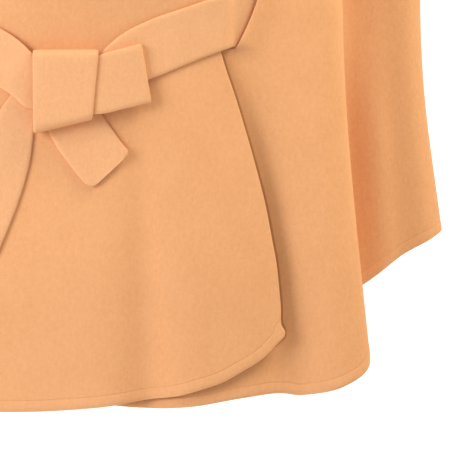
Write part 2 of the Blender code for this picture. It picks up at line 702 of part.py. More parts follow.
# The belt's ends: share of its length, one side's x and z, the other side's x and z, height off the panel
TAIL_RIGHT = (
    (0.0, -0.0130, -0.4390, 0.0240, -0.4300, 0.0031),
    (0.25, -0.0235, -0.4560, 0.0335, -0.4430, 0.0031),
    (0.5, -0.0140, -0.4790, 0.0460, -0.4610, 0.0034),
    (0.75, 0.0000, -0.5000, 0.0580, -0.4790, 0.0042),
    (1.0, 0.0245, -0.5310, 0.0680, -0.4905, 0.0048),
)
TAIL_LEFT = (
    (0.0, -0.0130, -0.4200, -0.0160, -0.3920, 0.0031),
    (0.2, -0.0310, -0.4490, -0.0430, -0.4080, 0.0031),
    (0.45, -0.0400, -0.5000, -0.0820, -0.4600, 0.0034),
    (0.75, -0.0560, -0.5520, -0.1060, -0.5200, 0.0040),
    (1.0, -0.0780, -0.6050, -0.1240, -0.5650, 0.0046),
)


TAIL_ROUND = 0.0085  # radius of the ends' corners


def tail_piece(name, table):
    rows = np.array(table)
    long = float(np.sum(np.linalg.norm(np.diff((rows[:, 1:3] + rows[:, 3:5]) / 2, axis=0), axis=1)))
    wide = float(np.linalg.norm(rows[-1, 3:5] - rows[-1, 1:3]))
    turn = np.radians((90, 68, 45, 22, 0))
    left = TAIL_ROUND * (1 - np.sin(turn))[::-1]  # from the end
    shares = np.concatenate([graded(7) * (1 - TAIL_ROUND / long), (1 - left / long)[1:]])
    q = []
    for share, r in zip(shares, spline(rows[:, 0], rows, shares)):
        past = max(0.0, TAIL_ROUND - (1 - share) * long)
        inset = (TAIL_ROUND - math.sqrt(max(TAIL_ROUND**2 - past**2, 0.0))) / wide
        w = inset + (1 - 2 * inset) * np.linspace(0, 1, ACROSS)
        x = r[1] + (r[3] - r[1]) * w
        z = r[2] + (r[4] - r[2]) * w
        q.append(off_panel(x, z, np.full(ACROSS, r[5])))
    return strip(name, np.array(q))


def build():
    made = [
        back_mesh(),
        front_mesh("right_front", True, WOOL),
        front_mesh("left_front", False, WOOL),
        collar_mesh(),
        belt_band(),
        wrap_piece(),
        bow_piece(),
        tail_piece("belt_tail_right", TAIL_RIGHT),
        tail_piece("belt_tail_left", TAIL_LEFT),
    ]
    return made


build()
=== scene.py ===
"""The looks of the shawl collar poncho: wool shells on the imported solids, camera, light and floor."""

import math

import bpy
import numpy as np
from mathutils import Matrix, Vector


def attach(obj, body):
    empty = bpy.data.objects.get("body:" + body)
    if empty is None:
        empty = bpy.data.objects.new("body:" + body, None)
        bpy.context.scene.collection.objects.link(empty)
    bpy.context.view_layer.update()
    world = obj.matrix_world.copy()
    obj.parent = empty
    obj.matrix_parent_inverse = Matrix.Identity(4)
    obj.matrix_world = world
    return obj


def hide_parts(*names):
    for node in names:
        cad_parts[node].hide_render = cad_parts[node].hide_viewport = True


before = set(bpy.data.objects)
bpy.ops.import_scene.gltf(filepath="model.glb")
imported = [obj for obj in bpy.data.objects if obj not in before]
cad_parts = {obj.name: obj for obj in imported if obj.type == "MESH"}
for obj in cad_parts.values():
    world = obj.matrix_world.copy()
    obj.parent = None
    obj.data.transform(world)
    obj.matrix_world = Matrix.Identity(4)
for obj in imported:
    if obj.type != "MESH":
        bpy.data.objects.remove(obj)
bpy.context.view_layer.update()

# Driving sizes
WALL = 0.0023  # double-faced wool
BELT_WALL = 0.0030  # the belt is doubled
SEAM_GAP = 0.0003  # between pieces that are sewn together
NECK_HALF = 0.094
SHOULDER_HALF = 0.190
SLIT_TOP = (0.2132, -0.3025)  # x, z
SLIT_FOOT = (0.1822, -0.3808)
SLIT_LIFT = 0.0062  # how far each lip stands off its panel
SLIT_SPREAD = 0.036  # how far from the slit that lift dies away
SLIT_OPEN = 0.0007  # how far each lip is drawn back along its panel
COLLAR_ROLL = 0.0026  # radius of the collar's roll on the fronts
NECK_ROLL = 0.0045  # radius of the roll round the back neck
STAND = 0.034  # collar stand at the back neck
FRONT_STAND = 0.003  # and on the fronts
HEM_STITCH = 0.0122  # from the hem to the sewn groove
HEM_PLUMP = 0.0004  # how much thicker the cloth is outside that groove
HEM_TUCK = 0.0085  # how far the lowest stretch of the fronts turns in
TAIL_ROUND = 0.0085  # radius of the belt ends' corners
FAR = 0.05  # distances on the cloth are measured up to here

# The cloth as rays from the neck to the hem of the wearer's left half, a row for each fold's ridge or valley:
# around in degrees from the centre front, waist x and y, hem x, y and z
RAYS = (
    (0, 0.000, -0.127, 0.000, -0.150, -0.7700),
    (9, 0.062, -0.125, 0.068, -0.150, -0.7705),
    (18, 0.122, -0.117, 0.135, -0.147, -0.7675),
    (26, 0.174, -0.103, 0.190, -0.138, -0.7605),
    (31.5, 0.208, -0.091, 0.232, -0.122, -0.7580),
    (38, 0.245, -0.082, 0.262, -0.117, -0.7612),
    (44, 0.288, -0.068, 0.306, -0.106, -0.7530),
    (49, 0.307, -0.047, 0.337, -0.079, -0.7340),
    (53, 0.308, -0.025, 0.333, -0.045, -0.7080),
    (58, 0.293, -0.006, 0.308, -0.012, -0.6840),
    (64, 0.312, 0.016, 0.330, 0.022, -0.6650),
    (72, 0.352, 0.028, 0.376, 0.036, -0.6300),
    (82, 0.392, 0.040, 0.418, 0.048, -0.6080),
    (90, 0.405, 0.056, 0.434, 0.070, -0.6000),
    (98, 0.396, 0.078, 0.422, 0.100, -0.6100),
    (108, 0.352, 0.094, 0.372, 0.122, -0.6400),
    (120, 0.292, 0.128, 0.318, 0.168, -0.6750),
    (133, 0.225, 0.128, 0.242, 0.160, -0.7050),
    (145, 0.165, 0.152, 0.180, 0.200, -0.7380),
    (156, 0.108, 0.146, 0.115, 0.182, -0.7550),
    (168, 0.050, 0.158, 0.055, 0.208, -0.7680),
    (180, 0.000, 0.152, 0.000, 0.190, -0.7710),
)
WAIST_Z = (-0.360, -0.330, -0.350)  # front, side, back
# Rings above the waist: t down the ray, side x, front y, back y, side y, front z, side z and back z
RINGS = (
    (-0.10, NECK_HALF - 0.006, -0.054, 0.072, 0.004, -0.010, 0.034, 0.044),
    (0.00, NECK_HALF, -0.072, 0.078, 0.000, -0.080, 0.000, 0.008),
    (0.12, SHOULDER_HALF, -0.095, 0.104, 0.004, -0.132, -0.045, -0.050),
    (0.30, 0.318, -0.128, 0.142, 0.018, -0.215, -0.165, -0.180),
)
WAIST_T = 0.50
# Front edges as x and z, from the rounded corner up to the break of the collar
EDGE = (
    (0.2372, -0.6951),
    (0.2378, -0.6908),
    (0.2336, -0.6830),
    (0.2326, -0.6656),
    (0.2302, -0.6417),
    (0.2270, -0.6144),
    (0.2222, -0.5892),
    (0.2160, -0.5564),
    (0.2052, -0.5125),
    (0.1932, -0.4685),
    (0.1800, -0.4245),
    (0.1726, -0.4027),
    (0.1678, -0.3863),
    (0.1600, -0.3450),
    (0.1550, -0.2950),
)
# The rounded lower corner of the top front, x and z, from the edge towards the centre
TOP_CORNER = (
    (0.2372, -0.6951),
    (0.2278, -0.7045),
    (0.2120, -0.7188),
    (0.1910, -0.7304),
    (0.1712, -0.7403),
    (0.1439, -0.7489),
    (0.1166, -0.7558),
    (0.0822, -0.7598),
    (0.0544, -0.7641),
    (0.0338, -0.7664),
    (-0.0074, -0.7694),
)
# The same corner of the under front, mirrored, which hitches up a little more
UNDER_CORNER = (
    (0.2270, -0.6860),
    (0.2200, -0.6960),
    (0.2050, -0.7100),
    (0.1850, -0.7230),
    (0.1600, -0.7345),
    (0.1300, -0.7440),
    (0.0900, -0.7515),
    (0.0450, -0.7570),
    (0.0000, -0.7608),
    (-0.0300, -0.7625),
    (-0.0545, -0.7658),
)
# The line along which the collar is sewn to a front, x and z, from the break to the neck
ROLL = ((0.1550, -0.2950), (0.1020, -0.2300), (0.0500, -0.1660), (0.0000, -0.1080))
NECK_FROM = 34.0  # degrees on the front's own side, from where the collar follows the neck
NECK_LEAD = (14.0, 0.012)  # degrees before that, and t, at which its seam turns towards the neck
# The collar's outer edge, x and z, then degrees and t
COLLAR_EDGE = (
    (0.1500, -0.3005),
    (0.1050, -0.3045),
    (0.0500, -0.2960),
    (-0.0100, -0.2700),
    (-0.0700, -0.2220),
)
COLLAR_BACK = ((62, 0.155), (90, 0.105), (120, 0.125), (150, 0.135), (180, 0.135))


def hermite(low, high, low_slope, high_slope, step, u):
    """The smooth curve over a step from low to high with their slopes, at shares u of the step."""
    return (
        low * (2 * u**3 - 3 * u**2 + 1)
        + low_slope * step * (u**3 - 2 * u**2 + u)
        + high * (3 * u**2 - 2 * u**3)
        + high_slope * step * (u**3 - u**2)
    )


def slopes(values, step):
    """The slope of each stretch between values, and a smooth slope at each value."""
    slope = np.diff(values, axis=0) / step
    tangent = np.empty_like(values)
    tangent[1:-1] = (slope[:-1] * step[1:] + slope[1:] * step[:-1]) / (step[1:] + step[:-1])
    tangent[0], tangent[-1] = slope[0], slope[-1]
    return slope, tangent


def spline(knots, values, at):
    """A smooth curve through values (knots, ...) at the places `at`."""
    knots, values, at = (np.asarray(item, float) for item in (knots, values, at))
    more = (1,) * (values.ndim - 1)
    step = np.diff(knots)
    _, tangent = slopes(values, step.reshape((-1,) + more))
    i = np.clip(np.searchsorted(knots, at, side="right") - 1, 0, len(knots) - 2)
    share = (at - knots[i]) / step[i]
    return hermite(values[i], values[i + 1], tangent[i], tangent[i + 1], step[i].reshape(at.shape + more),
                   share.reshape(at.shape + more))


def smooth(a, b, x):
    """0 below a, 1 above b, and smooth between."""
    u = np.clip((np.asarray(x, float) - a) / (b - a), 0, 1)
    return u * u * (3 - 2 * u)


def unit(v):
    """Vectors at length 1."""
    return v / np.maximum(np.linalg.norm(v, axis=-1, keepdims=True), 1e-12)


def along(points, at):
    """Places on a line of points at shares `at` of its length, smoothly."""
    points = np.asarray(points, float)
    knots = np.concatenate([[0], np.cumsum(np.linalg.norm(np.diff(points, axis=0), axis=1))])
    return spline(knots / knots[-1], points, at)


def graded(n, start=1.0, end=1.0):
    """n + 1 shares from 0 to 1, whose steps grow from `start` to `end`."""
    sizes = np.linspace(start, end, n)
    return np.concatenate([[0], np.cumsum(sizes)]) / sizes.sum()


def steps(n, first, middle, last):
    """n + 1 shares from 0 to 1 whose steps go from first over middle to last."""
    sizes = np.interp(np.linspace(0, 1, n), (0, 0.5, 1), (first, middle, last))
    return np.concatenate([[0], np.cumsum(sizes)]) / sizes.sum()


def ridge(x, middle, wide):
    """A rounded ridge, 1 high."""
    return np.exp(-(((np.asarray(x, float) - middle) / wide) ** 2))


def whole_ring(rows):
    """The wearer's left half of the rays as knots and values for the whole ring, with some over."""
    half = [(r[0], tuple(r[1:])) for r in rows]
    mirrored = [(-d, (-v[0], v[1], -v[2], v[3], v[4])) for d, v in reversed(half[1:-1])]
    ring = mirrored + half
    ring = [(d - 360, v) for d, v in ring[-4:]] + ring + [(d + 360, v) for d, v in ring]
    return np.array([d for d, _ in ring], float), np.array([v for _, v in ring], float)


RAY_KNOTS, RAY_VALUES = whole_ring(RAYS)
LEVELS = np.array([r[0] for r in RINGS] + [WAIST_T, 1.0])
# The belt holds the folds in, so they leave it nearly straight down and flare towards the hem
FLARE_AT_BELT, FLARE_AT_HEM = 0.2, 1.25


def front_back(front, side, back, c):
    """A value that goes from front over side to back with the cosine c of the angle."""
    return np.where(c > 0, side + (front - side) * c * c, side + (back - side) * c * c)


def surface(around, t):
    """The middle of the cloth at an angle in degrees from the centre front and t down from the neck."""
    around, t = np.broadcast_arrays(np.asarray(around, float), np.asarray(t, float))
    shape = around.shape
    a, t = around.ravel(), t.ravel()
    c, s = np.cos(np.radians(a)), np.sin(np.radians(a))
    rings = []
    for _, side_x, front_y, back_y, side_y, front_z, side_z, back_z in RINGS:
        y = np.where(c > 0, side_y * (1 - c) + front_y * c, side_y * (1 + c) - back_y * c)
        rings.append(np.stack([side_x * s, y, front_back(front_z, side_z, back_z, c)], axis=1))
    ray = spline(RAY_KNOTS, RAY_VALUES, a)
    rings.append(np.stack([ray[:, 0], ray[:, 1], front_back(*WAIST_Z, c)], axis=1))
    rings.append(ray[:, 2:5])
    stack = np.stack(rings)
    slope, tangent = slopes(stack, np.diff(LEVELS)[:, None, None])
    tangent[-2, :, :2] = slope[-1, :, :2] * FLARE_AT_BELT
    tangent[-1, :, :2] = slope[-1, :, :2] * FLARE_AT_HEM
    i = np.clip(np.searchsorted(LEVELS, t, side="right") - 1, 0, len(LEVELS) - 2)
    n = np.arange(len(t))
    step = (LEVELS[i + 1] - LEVELS[i])[:, None]
    u = (t - LEVELS[i])[:, None] / step
    p = hermite(stack[i, n], stack[i + 1, n], tangent[i, n], tangent[i + 1, n], step, u)
    return p.reshape(shape + (3,))


def down(around, t):
    """The unit direction down a ray."""
    return unit(surface(around, np.asarray(t) + 1e-3) - surface(around, np.asarray(t) - 1e-3))


def outward(around, t):
    """The unit direction out of the cloth."""
    across = surface(np.asarray(around) + 0.05, t) - surface(np.asarray(around) - 0.05, t)
    return unit(np.cross(down(around, t), across))


FRONT_HALF = 0.36  # rough half width of the front, where find starts
FRONT_TOP, FRONT_LONG = -0.085, 0.685  # its rough top z and length
FIND_ROUNDS = 40


def find(x, z):
    """The angle and t at which the front of the cloth is at x and z, by steps along its slopes."""
    x, z = np.asarray(x, float), np.asarray(z, float)
    a = np.degrees(np.arcsin(np.clip(x / FRONT_HALF, -0.95, 0.95)))
    t = np.clip((FRONT_TOP - z) / FRONT_LONG, 0.02, 1.0)
    small_a, small_t = 0.01, 1e-4
    for _ in range(FIND_ROUNDS):
        p = surface(a, t)
        da = (surface(a + small_a, t) - p) / small_a
        dt = (surface(a, t + small_t) - p) / small_t
        ex, ez = x - p[..., 0], z - p[..., 2]
        det = da[..., 0] * dt[..., 2] - dt[..., 0] * da[..., 2]
        det = np.where(np.abs(det) < 1e-9, 1e-9, det)
        a = a + np.clip((ex * dt[..., 2] - ez * dt[..., 0]) / det, -4, 4)
        t = t + np.clip((ez * da[..., 0] - ex * da[..., 2]) / det, -0.06, 0.06)
    return a, t


def past_centre(points):
    """Angles on a front's own side, and t, of points given as x past the centre and z."""
    return find([-x for x, _ in points], [z for _, z in points])


def on_cloth(a, t, weight, at):
    """Angles and t at shares of a line's length; weight is how many degrees a t of 1 counts as."""
    return along(np.stack([a, np.multiply(t, weight)], axis=1), at) / (1, weight)


# Those weights for the collar's roll line, the free edge and the hem
ROLL_WEIGHT, EDGE_WEIGHT, HEM_WEIGHT = 150, 100, 60

# How far each front stands off the middle surface, the top one out and the under one in, and how much closer
# the belt pulls it. own is the angle on the front's own side: 90 at its side seam, below 0 past the centre
TOP_REST, TOP_PULL = 0.0050, 0.0022
UNDER_REST, UNDER_PULL = -0.0058, 0.0030
HEM_EASE = 0.0010  # how much farther the top front stands out near the hem
EDGE_LIFT = 0.0020  # how much farther its free edge stands out below the belt
TOP_SPAN, UNDER_SPAN = (50, 76), (46, 72)  # degrees over which they come together towards the side
EDGE_SPAN = (14, 33)  # degrees past the centre over which the free edge's lift grows
BELT_T, EASE_T, EDGE_T = (0.43, 0.50), (0.60, 0.80), (0.53, 0.74)  # t over which each of these grows


def top_off(own, t):
    """How far the top front stands out."""
    over = 1 - smooth(*TOP_SPAN, own)
    rest = TOP_REST - TOP_PULL * smooth(*BELT_T, t) + HEM_EASE * smooth(*EASE_T, t)
    edge = smooth(*EDGE_SPAN, -np.asarray(own, float))
    return over * rest + EDGE_LIFT * edge * smooth(*EDGE_T, t)


def under_off(own, t):
    """How far the under front stands out, which is below 0."""
    over = 1 - smooth(*UNDER_SPAN, own)
    return over * (UNDER_REST + UNDER_PULL * smooth(*BELT_T, t))


def slit_frame(x, z):
    """Distance past the slit towards the side, height above its foot, and its length."""
    run = np.array(SLIT_TOP) - np.array(SLIT_FOOT)
    long = float(np.linalg.norm(run))
    run = run / long
    dx, dz = np.abs(np.asarray(x, float)) - SLIT_FOOT[0], np.asarray(z, float) - SLIT_FOOT[1]
    return dx * run[1] - dz * run[0], dx * run[0] + dz * run[1], long


def lip(x, z, side):
    """How far a panel is pushed out (side +1) or in (side -1) next to its slit."""
    past, up, long = slit_frame(x, z)
    near = 1 - smooth(0.0, SLIT_SPREAD, np.abs(past))
    tall = smooth(-0.001, 0.0085, up) * smooth(-0.001, 0.0085, long - up)
    return side * SLIT_LIFT * near * tall


# Rows of a front below and above its slit, columns before and past it, and the shares of the slit's length at
# which rows cross it
ROWS_LOW, ROWS_HIGH = 58, 34
COLUMNS_IN, COLUMNS_OUT = 66, 66
SLIT_ROWS = (0.0, 0.03, 0.085, 0.16, 0.25, 0.33, 0.41, 0.5, 0.59, 0.67, 0.75, 0.84, 0.915, 0.97, 1.0)
SLIT_CUT = np.arange(ROWS_LOW + 1, ROWS_LOW + len(SLIT_ROWS) - 1)  # the rows between the slit's ends
SLIT_V = (0.50, 0.60)  # shares of a front's height at which the slit begins and ends
SEAM_V = (0.56, 0.44)  # the t of the side seam at those shares
NECK_AT = 44.0  # degrees at which the line through the slit meets the neck
HEM_AT = 4.0  # degrees by which that line's foot lies nearer the centre than the slit's foot
# The angles and t by which each corner's line joins the plain hem
TOP_JOIN = ((8.0, 1.0),)
UNDER_JOIN = ((9.8, 0.9975), (13.0, 1.0))
TOP_CORNER_T = 0.997  # the least t at the top corner's last point
# Where the under front's edge starts to lie farther in, and higher, than the top front's edge
IN_BELOW, UP_BELOW = -0.5, -0.6


def seam_t(own):
    """The t of the seam that joins the collar to a front and to the back neck."""
    a, t = past_centre(ROLL)
    a, t = np.append(a, [NECK_FROM - NECK_LEAD[0], NECK_FROM]), np.append(t, [NECK_LEAD[1], 0.0])
    s = on_cloth(a, t, ROLL_WEIGHT, np.linspace(0, 1, 400))
    return np.maximum(np.interp(own, s[:, 0], s[:, 1]), 0.0)


def coons(left, right, foot, head, u, v):
    """A grid between four lines, with a row for each v and a column for each u."""
    w = v[:, None, None]
    x = u[None, :, None]
    sides = left[:, None] * (1 - x) + right[:, None] * x
    ends = foot[None] * (1 - w) + head[None] * w
    corners = (foot[0] * (1 - x) + foot[-1] * x) * (1 - w) + (head[0] * (1 - x) + head[-1] * x) * w
    return sides + ends - corners


def front_grid(top):
    """Angles on its own side and t of a front's grid: rows from the hem up, columns from the free edge."""
    corner = TOP_CORNER if top else UNDER_CORNER
    inset = EDGE[0][0] - corner[0][0]
    raised = corner[0][1] - EDGE[0][1]
    slit = SLIT_V[0] + np.array(SLIT_ROWS) * (SLIT_V[1] - SLIT_V[0])
    low, high = graded(ROWS_LOW, 0.45, 1.0) * SLIT_V[0], SLIT_V[1] + graded(ROWS_HIGH) * (1 - SLIT_V[1])
    v = np.concatenate([low, slit[1:], high[1:]])
    # free edge and side seam
    edge = past_centre([(x - inset * (z < IN_BELOW), z + raised * (z < UP_BELOW)) for x, z in EDGE])
    free = on_cloth(*edge, EDGE_WEIGHT, v)
    seam = np.stack([np.full(len(v), 90.0), np.interp(v, (0, *SLIT_V, 1), (1.0, *SEAM_V, 0.0))], axis=1)
    # guide from the hem through the slit to the neck, straight along the slit
    foot_a, foot_t = find(*SLIT_FOOT)
    top_a, top_t = find(*SLIT_TOP)
    hem_a = foot_a - HEM_AT
    knots = (0.0, *SLIT_V, 1.0)
    ends = np.array([(foot_a, foot_t), (top_a, top_t)])
    guide = spline(knots, [(hem_a, 1.0), *ends, (NECK_AT, 0.0)], v)
    inside = (v >= SLIT_V[0]) & (v <= SLIT_V[1])
    share = ((v - SLIT_V[0]) / (SLIT_V[1] - SLIT_V[0]))[:, None]
    guide = np.where(inside[:, None], ends[0] + (ends[1] - ends[0]) * share, guide)
    guide[0, 1], guide[-1, 1] = 1.0, 0.0
    # hem: the rounded corner, then the plain hem to the guide and on to the seam
    corner_a, corner_t = past_centre(corner)
    if top:
        corner_t[-1] = max(corner_t[-1], TOP_CORNER_T)
    join = [*(TOP_JOIN if top else UNDER_JOIN), (hem_a, 1.0)]
    corner_a, corner_t = np.append(corner_a, [a for a, _ in join]), np.append(corner_t, [t for _, t in join])
    hem_in = on_cloth(corner_a, corner_t, HEM_WEIGHT, graded(COLUMNS_IN, 0.42, 1.25))
    hem_in[:, 1] = np.minimum(hem_in[:, 1], 1.0)
    u_out = graded(COLUMNS_OUT)
    bend = np.interp(u_out, (0, 0.18, 0.62, 1.0), (0, 0.20, 0.56, 1.0))
    hem_out = np.stack([hem_a + (90 - hem_a) * bend, np.ones(len(bend))], axis=1)
    # top: the roll line, then round the neck to the guide and on to the seam
    roll_a = float(past_centre(ROLL)[0][0])
    neck_a = roll_a + (NECK_AT - roll_a) * np.linspace(0, 1, COLUMNS_IN + 1)
    top_in = np.stack([neck_a, seam_t(neck_a)], axis=1)
    top_out = np.stack([NECK_AT + (90 - NECK_AT) * u_out, np.zeros(len(bend))], axis=1)
    free[0], free[-1] = hem_in[0], top_in[0]
    inner = coons(free, guide, hem_in, top_in, np.linspace(0, 1, COLUMNS_IN + 1), v)
    outer = coons(guide, seam, hem_out, top_out, bend, v)
    grid = np.concatenate([inner, outer[:, 1:]], axis=1)
    return grid[..., 0], np.clip(grid[..., 1], 0, 1)


# Shallow folds of the fronts, a row for each: x at the belt, x at the hem, width at the belt and at the hem,
# height at the belt and at the hem
TOP_FOLDS = (
    (0.030, 0.026, 0.018, 0.030, 0.0000, 0.0020),
    (0.078, 0.088, 0.016, 0.025, -0.0020, -0.0115),
    (0.118, 0.140, 0.020, 0.030, 0.0010, 0.0035),
)
UNDER_FOLDS = (
    (0.190, 0.252, 0.018, 0.030, -0.0040, -0.0085),
    (0.266, 0.304, 0.018, 0.022, 0.0015, 0.0030),
)
FAR_FOLDS = (  # past the deep fold at the side
    (0.314, 0.328, 0.013, 0.015, -0.0060, -0.0080),
    (0.346, 0.366, 0.016, 0.018, 0.0035, 0.0050),
)
FAR_SPAN = (55, 61, 84, 90)  # degrees between which those come and go
FOLD_TOP, FOLD_LONG = -0.40, 0.36  # z of the belt, and from there to the hem
FOLD_GROWS = (0.36, 0.50)  # depths below the origin over which the folds grow
TUCK_GROWS = (0.60, 0.775)  # depths over which the fronts' lowest stretch turns in
TUCK_SPAN = (36, 49)  # degrees over which that dies away towards the side
SIGHT = np.array((0.07, 0.99, -0.11))  # the direction in which the camera looks at the free edge
STITCHED_BELOW = -0.688  # up to this z the free edge is part of the sewn hem
LINE_THINS = (-0.712, -0.696)  # z between which the painted dark shade line beside the free edge gets thinner downwards
LINE_THINNER = 0.0020  # by how much
FRONTS_PART = (-0.385, -0.345)  # z between which the fronts part above the belt


def folded(points, table):
    """How far shallow folds move the cloth."""
    x, z = points[..., 0], points[..., 2]
    share = np.clip((FOLD_TOP - z) / FOLD_LONG, 0, 1)
    grow = smooth(*FOLD_GROWS, -z)
    out = np.zeros(x.shape)
    for x0, x1, w0, w1, h0, h1 in table:
        out += ridge(x, x0 + (x1 - x0) * share, w0 + (w1 - w0) * share) * (h0 + (h1 - h0) * share) * grow
    return out


def tucked(own, z):
    """How far a front's lowest stretch turns in."""
    return -HEM_TUCK * smooth(*TUCK_GROWS, -z) * (1 - smooth(*TUCK_SPAN, own))


def distance(points, line, pairs=False):
    """How far each point is from a line of points, or from separate pieces of line, up to FAR."""
    line = np.asarray(line, float)
    starts, ends = (line[::2], line[1::2]) if pairs else (line[:-1], line[1:])
    best = np.full(len(points), FAR)
    for p, q in zip(starts, ends):
        near = np.nonzero(np.abs(points - (p + q) / 2).max(axis=1) < FAR + 0.005)[0]
        d = q - p
        away = points[near] - p
        u = np.clip((away @ d) / max(float(d @ d), 1e-12), 0, 1)
        best[near] = np.minimum(best[near], np.linalg.norm(away - u[:, None] * d, axis=1))
    return best


def add(name, data):
    """A new object in the scene."""
    o = bpy.data.objects.new(name, data)
    bpy.context.scene.collection.objects.link(o)
    return o


RIM_HALF = 0.36  # half the wall beside its rim, as a share of its thickness
RIM_INSET = 0.30  # how far the wall's faces stop short of the rim, likewise


def shell(node, points, normals, faces, thick, material, hem=None, under=None):
    """A closed cloth wall with rounded rims in place of a node. hem holds each point's distance from its sewn
    edge, and under its distance from the edge that lies on it."""
    q = np.array(faces)
    facing = np.cross(points[q[:, 2]] - points[q[:, 0]], points[q[:, 3]] - points[q[:, 1]])
    if (facing * normals[q[:, 0]]).sum() < 0:
        q, facing = q[:, ::-1], -facing
    n = len(points)
    # true normals of the sheet, so that the light follows its folds
    true = np.zeros_like(points)
    for k in range(4):
        np.add.at(true, q[:, k], facing)
    true = unit(true)
    # the rim is made of the sides that only one face has
    sides = np.concatenate([q[:, [0, 1]], q[:, [1, 2]], q[:, [2, 3]], q[:, [3, 0]]])
    owner = np.tile(np.arange(len(q)), 4)
    _, index, count = np.unique(np.sort(sides, axis=1), axis=0, return_inverse=True, return_counts=True)
    single = count[index.ravel()] == 1
    rim = sides[single]
    rim_out = np.cross(unit(points[rim[:, 1]] - points[rim[:, 0]]), unit(facing[owner[single]]))
    out = np.zeros_like(points)
    for k in range(2):
        np.add.at(out, rim[:, k], rim_out)
    on_rim = np.zeros(n, bool)
    on_rim[rim.ravel()] = True
    inset = unit(out) * on_rim[:, None] * thick * RIM_INSET
    half = np.where(on_rim, thick * RIM_HALF, thick * 0.5)
    plump = 0.0 if hem is None else HEM_PLUMP * (1 - smooth(0.0095, 0.0125, hem)) * ~on_rim
    front_wall = points + true * (half + plump)[:, None] - inset
    back_wall = points - true * half[:, None] - inset
    rims = np.unique(rim)
    spot = -np.ones(n, int)
    spot[rims] = 2 * n + np.arange(len(rims))
    vertices = np.concatenate([front_wall, back_wall, points[rims]])
    polygons = [tuple(f) for f in q] + [tuple(n + i for i in f[::-1]) for f in q]
    for a, b in rim:
        polygons.append((b, a, spot[a], spot[b]))
        polygons.append((spot[b], spot[a], n + a, n + b))
    mesh = bpy.data.meshes.new(node + "_cloth")
    mesh.from_pydata([tuple(v) for v in vertices], [], [tuple(int(i) for i in f) for f in polygons])
    mesh.validate()
    mesh.update()
    mesh.shade_smooth()
    nowhere = np.full(n, FAR)
    layers = {
        "hem": nowhere if hem is None else hem,
        "rim": distance(points, points[rim].reshape(-1, 3), pairs=True),
        "under": nowhere if under is None else under,
    }
    for key, value in layers.items():
        layer = mesh.attributes.new(key, "FLOAT", "POINT")
        layer.data.foreach_set("value", np.concatenate([value, value, value[rims]]).astype(np.float32))
    mesh.materials.append(material)
    o = add(node + "_cloth", mesh)
    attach(o, "root")
    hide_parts(node)
    return o


def quads(rows, columns, ring=False):
    """The faces of a grid of points, whose last row joins the first one in a ring."""
    faces = []
    for i in range(rows if ring else rows - 1):
        k = (i + 1) % rows
        for j in range(columns - 1):
            faces.append((i * columns + j, i * columns + j + 1, k * columns + j + 1, k * columns + j))
    return faces


class Value:
    """A number or colour in a material, with arithmetic."""

    def __init__(self, tree, socket):
        self.tree, self.socket = tree, socket

    def math(self, what, *others, clamp=False, swap=False):
        node = self.tree.nodes.new("ShaderNodeMath")
        node.operation = what
        node.use_clamp = clamp
        items = [self, *others]
        if swap:
            items = items[::-1]
        for k, item in enumerate(items):
            if isinstance(item, Value):
                self.tree.links.new(item.socket, node.inputs[k])
            else:
                node.inputs[k].default_value = item
        return Value(self.tree, node.outputs[0])

    def __add__(self, other):
        return self.math("ADD", other)

    __radd__ = __add__

    def __sub__(self, other):
        return self.math("SUBTRACT", other)

    def __rsub__(self, other):
        return self.math("SUBTRACT", other, swap=True)

    def __mul__(self, other):
        return self.math("MULTIPLY", other)

    __rmul__ = __mul__

    def __truediv__(self, other):
        return self.math("DIVIDE", other)

    def __rtruediv__(self, other):
        return self.math("DIVIDE", other, swap=True)

    def clamped(self):
        """Kept between 0 and 1."""
        return self.math("ADD", 0.0, clamp=True)

    def bell(self, middle, wide):
        """1 at the middle, and fading over the width."""
        d = (self - middle) / wide
        return (d * d * -1.0).math("EXPONENT")

    def within(self, reach, run):
        """0 from reach on, and growing to 1 over the run before it."""
        return ((reach - self) / run).clamped()


class Paint:
    """A material's node tree with short calls."""

    def __init__(self, name):
        self.material = bpy.data.materials.new(name)
        self.material.use_nodes = True
        self.tree = self.material.node_tree
        self.place = Value(self.tree, self.node("ShaderNodeTexCoord").outputs["Object"])

    def put(self, socket, value):
        if isinstance(value, Value):
            self.tree.links.new(value.socket, socket)
        else:
            socket.default_value = value

    def node(self, kind, sockets=None, **settings):
        """A new node with its settings, and with values or links in its sockets."""
        node = self.tree.nodes.new(kind)
        for key, value in settings.items():
            setattr(node, key, value)
        for key, value in (sockets or {}).items():
            self.put(node.inputs[key], value)
        return node

    def finish(self, sockets):
        """Set or link the sockets of the material's own shader."""
        for key, value in sockets.items():
            self.put(self.tree.nodes["Principled BSDF"].inputs[key], value)
        return self.material

    def noise(self, scale, detail, rough, stretch=None, distort=0.0):
        """A noise pattern over the piece, which stretch scales along each axis."""
        at = self.place
        if stretch:
            at = Value(self.tree, self.node("ShaderNodeMapping", {"Vector": at, "Scale": stretch}).outputs[0])
        sockets = {
            "Vector": at,
            "Scale": scale,
            "Detail": detail,
            "Roughness": rough,
            "Distortion": distort,
        }
        return Value(self.tree, self.node("ShaderNodeTexNoise", sockets).outputs["Fac"])

    def attribute(self, name):
        return Value(self.tree, self.node("ShaderNodeAttribute", attribute_name=name).outputs["Fac"])

    def mix(self, share, a, b):
        """A colour between a and b."""
        node = self.node("ShaderNodeMix", {"Factor": share}, data_type="RGBA")
        for key, value in (("A", a), ("B", b)):
            socket = next(s for s in node.inputs if s.name == key and s.type == "RGBA")
            self.put(socket, value if isinstance(value, Value) else (*value, 1))
        return Value(self.tree, next(s for s in node.outputs if s.type == "RGBA"))
